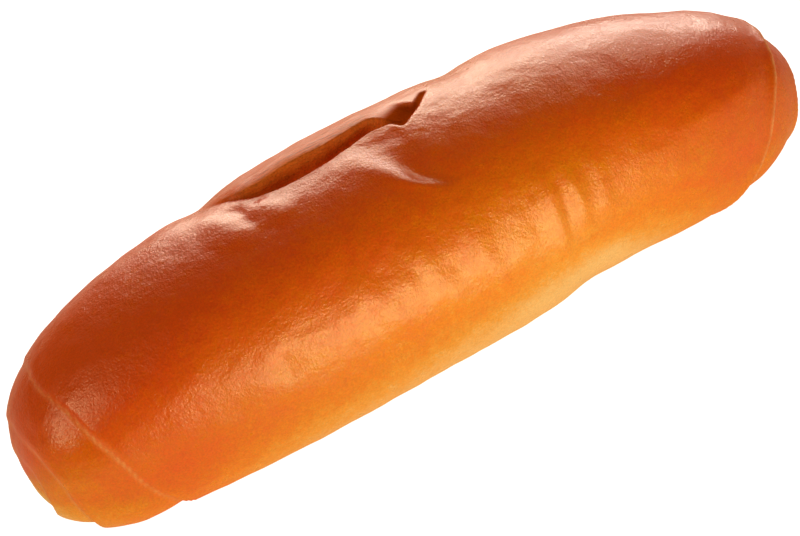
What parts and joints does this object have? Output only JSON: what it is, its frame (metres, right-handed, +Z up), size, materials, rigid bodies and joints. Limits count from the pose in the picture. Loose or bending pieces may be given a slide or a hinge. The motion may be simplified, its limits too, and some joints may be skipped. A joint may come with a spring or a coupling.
{
  "type": "hot dog bun",
  "caption": "Long soft roll of rolled dough with a glazed brown crust, stepped dough edges at both ends and a cleft in the top.",
  "frame": {"origin": "middle of the footprint, on the surface that the flat base rests on", "axes": "+X along the bun, +Y towards its back, +Z up; the shown near side faces -Y"},
  "size_m": [0.16, 0.049, 0.0413],
  "materials": {
    "crust": "satin"
  },
  "bodies": {
    "root": {"bun": "crust"}
  },
  "joints": []
}
